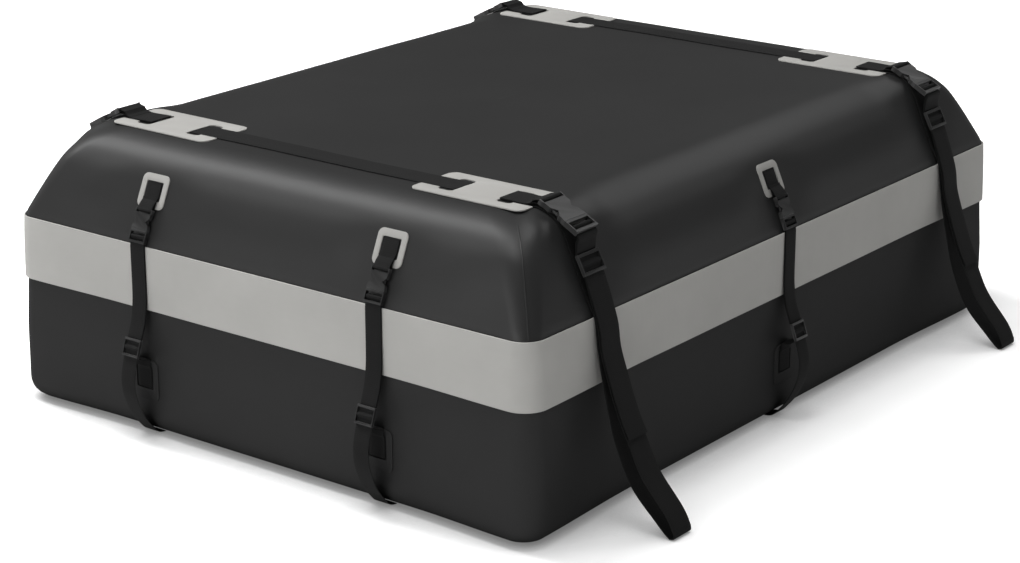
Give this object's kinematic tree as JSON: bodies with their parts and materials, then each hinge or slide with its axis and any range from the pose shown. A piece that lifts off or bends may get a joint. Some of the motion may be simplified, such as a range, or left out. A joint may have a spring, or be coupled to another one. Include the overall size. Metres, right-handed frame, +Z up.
{
  "type": "soft roof cargo bag",
  "caption": "Soft rectangular roof cargo bag with a sloped lid, a light weather flap over its zip, short buckled lid straps and long loop straps for tying to a roof rack.",
  "frame": {"origin": "on the ground under the middle of the bag", "axes": "+Z up, +Y along the length of the bag (along the car) towards its back, X across it"},
  "size_m": [1.1074, 1.203, 0.3985],
  "materials": {
    "lid_tarpaulin": "satin PVC-coated tarpaulin",
    "tub_tarpaulin": "satin PVC-coated tarpaulin",
    "flap_tarpaulin": "matt PVC-coated tarpaulin",
    "patch_tarpaulin": "matt PVC-coated tarpaulin, die cut",
    "webbing": "woven polypropylene webbing",
    "buckle_plastic": "moulded acetal, satin",
    "zip_tape": "woven zip tape with a coil",
    "zip_metal": "black coated die casting"
  },
  "bodies": {
    "bag": {"tub": "tub_tarpaulin", "lid": "lid_tarpaulin", "weather_flap": "flap_tarpaulin", "zip_chain": "zip_tape", "top_web_front": "webbing", "top_patch_front_right": "patch_tarpaulin", "top_patch_front_left": "patch_tarpaulin", "top_web_back": "webbing", "top_patch_back_right": "patch_tarpaulin", "top_patch_back_left": "patch_tarpaulin", "lid_patch_front_right": "patch_tarpaulin", "strap_socket_front_right": "buckle_plastic", "strap_web_front_right": "webbing", "lid_patch_front_left": "patch_tarpaulin", "strap_socket_front_left": "buckle_plastic", "strap_web_front_left": "webbing", "lid_patch_back_right": "patch_tarpaulin", "strap_socket_back_right": "buckle_plastic", "strap_web_back_right": "webbing", "lid_patch_back_left": "patch_tarpaulin", "strap_socket_back_left": "buckle_plastic", "strap_web_back_left": "webbing", "lid_patch_side_right": "patch_tarpaulin", "strap_socket_side_right": "buckle_plastic", "strap_web_side_right": "webbing", "lid_patch_side_left": "patch_tarpaulin", "strap_socket_side_left": "buckle_plastic", "strap_web_side_left": "webbing", "loop_socket_front_right": "buckle_plastic", "loop_web_front_right": "webbing", "loop_socket_front_left": "buckle_plastic", "loop_web_front_left": "webbing", "loop_socket_back_right": "buckle_plastic", "loop_web_back_right": "webbing", "loop_socket_back_left": "buckle_plastic", "loop_web_back_left": "webbing"},
    "strap_plug_front_right": {"strap_plug_front_right": "buckle_plastic"},
    "strap_slider_front_right": {"strap_slider_front_right": "buckle_plastic"},
    "strap_plug_front_left": {"strap_plug_front_left": "buckle_plastic"},
    "strap_slider_front_left": {"strap_slider_front_left": "buckle_plastic"},
    "strap_plug_back_right": {"strap_plug_back_right": "buckle_plastic"},
    "strap_slider_back_right": {"strap_slider_back_right": "buckle_plastic"},
    "strap_plug_back_left": {"strap_plug_back_left": "buckle_plastic"},
    "strap_slider_back_left": {"strap_slider_back_left": "buckle_plastic"},
    "strap_plug_side_right": {"strap_plug_side_right": "buckle_plastic"},
    "strap_slider_side_right": {"strap_slider_side_right": "buckle_plastic"},
    "strap_plug_side_left": {"strap_plug_side_left": "buckle_plastic"},
    "strap_slider_side_left": {"strap_slider_side_left": "buckle_plastic"},
    "loop_plug_front_right": {"loop_plug_front_right": "buckle_plastic"},
    "loop_slider_front_right": {"loop_slider_front_right": "buckle_plastic"},
    "loop_plug_front_left": {"loop_plug_front_left": "buckle_plastic"},
    "loop_slider_front_left": {"loop_slider_front_left": "buckle_plastic"},
    "loop_plug_back_right": {"loop_plug_back_right": "buckle_plastic"},
    "loop_slider_back_right": {"loop_slider_back_right": "buckle_plastic"},
    "loop_plug_back_left": {"loop_plug_back_left": "buckle_plastic"},
    "loop_slider_back_left": {"loop_slider_back_left": "buckle_plastic"},
    "zip_slider_right": {"zip_slider_right": "zip_metal"},
    "zip_tab_right": {"zip_tab_right": "zip_metal"},
    "zip_slider_left": {"zip_slider_left": "zip_metal"},
    "zip_tab_left": {"zip_tab_left": "zip_metal"}
  },
  "joints": [
    {"name": "strap_plug_front_right_release", "type": "slide", "parent": "bag", "child": "strap_plug_front_right", "axis": [0, -0.4067, -0.9135], "range_m": [0, 0.02], "deforming": ["strap_web_front_right"]},
    {"name": "strap_slider_front_right_adjust", "type": "slide", "parent": "bag", "child": "strap_slider_front_right", "axis": [0, 0.3256, 0.9455], "range_m": [-0.005, 0.025], "deforming": ["strap_web_front_right"]},
    {"name": "strap_plug_front_left_release", "type": "slide", "parent": "bag", "child": "strap_plug_front_left", "axis": [0, -0.4067, -0.9135], "range_m": [0, 0.02], "deforming": ["strap_web_front_left"]},
    {"name": "strap_slider_front_left_adjust", "type": "slide", "parent": "bag", "child": "strap_slider_front_left", "axis": [0, 0.3256, 0.9455], "range_m": [-0.005, 0.025], "deforming": ["strap_web_front_left"]},
    {"name": "strap_plug_back_right_release", "type": "slide", "parent": "bag", "child": "strap_plug_back_right", "axis": [0, 0.4067, -0.9135], "range_m": [0, 0.02], "deforming": ["strap_web_back_right"]},
    {"name": "strap_slider_back_right_adjust", "type": "slide", "parent": "bag", "child": "strap_slider_back_right", "axis": [0, -0.3256, 0.9455], "range_m": [-0.005, 0.025], "deforming": ["strap_web_back_right"]},
    {"name": "strap_plug_back_left_release", "type": "slide", "parent": "bag", "child": "strap_plug_back_left", "axis": [0, 0.4067, -0.9135], "range_m": [0, 0.02], "deforming": ["strap_web_back_left"]},
    {"name": "strap_slider_back_left_adjust", "type": "slide", "parent": "bag", "child": "strap_slider_back_left", "axis": [0, -0.3256, 0.9455], "range_m": [-0.005, 0.025], "deforming": ["strap_web_back_left"]},
    {"name": "strap_plug_side_right_release", "type": "slide", "parent": "bag", "child": "strap_plug_side_right", "axis": [0.4067, 0, -0.9135], "range_m": [0, 0.02], "deforming": ["strap_web_side_right"]},
    {"name": "strap_slider_side_right_adjust", "type": "slide", "parent": "bag", "child": "strap_slider_side_right", "axis": [-0.3256, 0, 0.9455], "range_m": [-0.005, 0.025], "deforming": ["strap_web_side_right"]},
    {"name": "strap_plug_side_left_release", "type": "slide", "parent": "bag", "child": "strap_plug_side_left", "axis": [-0.4067, 0, -0.9135], "range_m": [0, 0.02], "deforming": ["strap_web_side_left"]},
    {"name": "strap_slider_side_left_adjust", "type": "slide", "parent": "bag", "child": "strap_slider_side_left", "axis": [0.3256, 0, 0.9455], "range_m": [-0.005, 0.025], "deforming": ["strap_web_side_left"]},
    {"name": "loop_plug_front_right_release", "type": "slide", "parent": "bag", "child": "loop_plug_front_right", "axis": [0.8805, 0, -0.4741], "range_m": [0, 0.03], "deforming": ["loop_web_front_right"]},
    {"name": "loop_slider_front_right_adjust", "type": "slide", "parent": "bag", "child": "loop_slider_front_right", "axis": [-0.4617, 0, 0.887], "range_m": [-0.02, 0.01], "deforming": ["loop_web_front_right"]},
    {"name": "loop_plug_front_left_release", "type": "slide", "parent": "bag", "child": "loop_plug_front_left", "axis": [-0.8805, 0, -0.4741], "range_m": [0, 0.03], "deforming": ["loop_web_front_left"]},
    {"name": "loop_slider_front_left_adjust", "type": "slide", "parent": "bag", "child": "loop_slider_front_left", "axis": [0.4617, 0, 0.887], "range_m": [-0.02, 0.01], "deforming": ["loop_web_front_left"]},
    {"name": "loop_plug_back_right_release", "type": "slide", "parent": "bag", "child": "loop_plug_back_right", "axis": [0.8805, 0, -0.4741], "range_m": [0, 0.03], "deforming": ["loop_web_back_right"]},
    {"name": "loop_slider_back_right_adjust", "type": "slide", "parent": "bag", "child": "loop_slider_back_right", "axis": [-0.4617, 0, 0.887], "range_m": [-0.02, 0.01], "deforming": ["loop_web_back_right"]},
    {"name": "loop_plug_back_left_release", "type": "slide", "parent": "bag", "child": "loop_plug_back_left", "axis": [-0.8805, 0, -0.4741], "range_m": [0, 0.03], "deforming": ["loop_web_back_left"]},
    {"name": "loop_slider_back_left_adjust", "type": "slide", "parent": "bag", "child": "loop_slider_back_left", "axis": [0.4617, 0, 0.887], "range_m": [-0.02, 0.01], "deforming": ["loop_web_back_left"]},
    {"name": "zip_slider_right_run", "type": "slide", "parent": "bag", "child": "zip_slider_right", "axis": [1, 0, 0], "range_m": [0, 0.3], "deforming": ["zip_chain"]},
    {"name": "zip_tab_right_swing", "type": "hinge", "parent": "zip_slider_right", "child": "zip_tab_right", "pos_m": [0.01, 0.5643, 0.236], "axis": [0, 0, 1], "range_deg": [0, 7]},
    {"name": "zip_slider_left_run", "type": "slide", "parent": "bag", "child": "zip_slider_left", "axis": [-1, 0, 0], "range_m": [0, 0.3], "deforming": ["zip_chain"]},
    {"name": "zip_tab_left_swing", "type": "hinge", "parent": "zip_slider_left", "child": "zip_tab_left", "pos_m": [-0.01, 0.5643, 0.236], "axis": [0, 0, -1], "range_deg": [0, 7]}
  ]
}
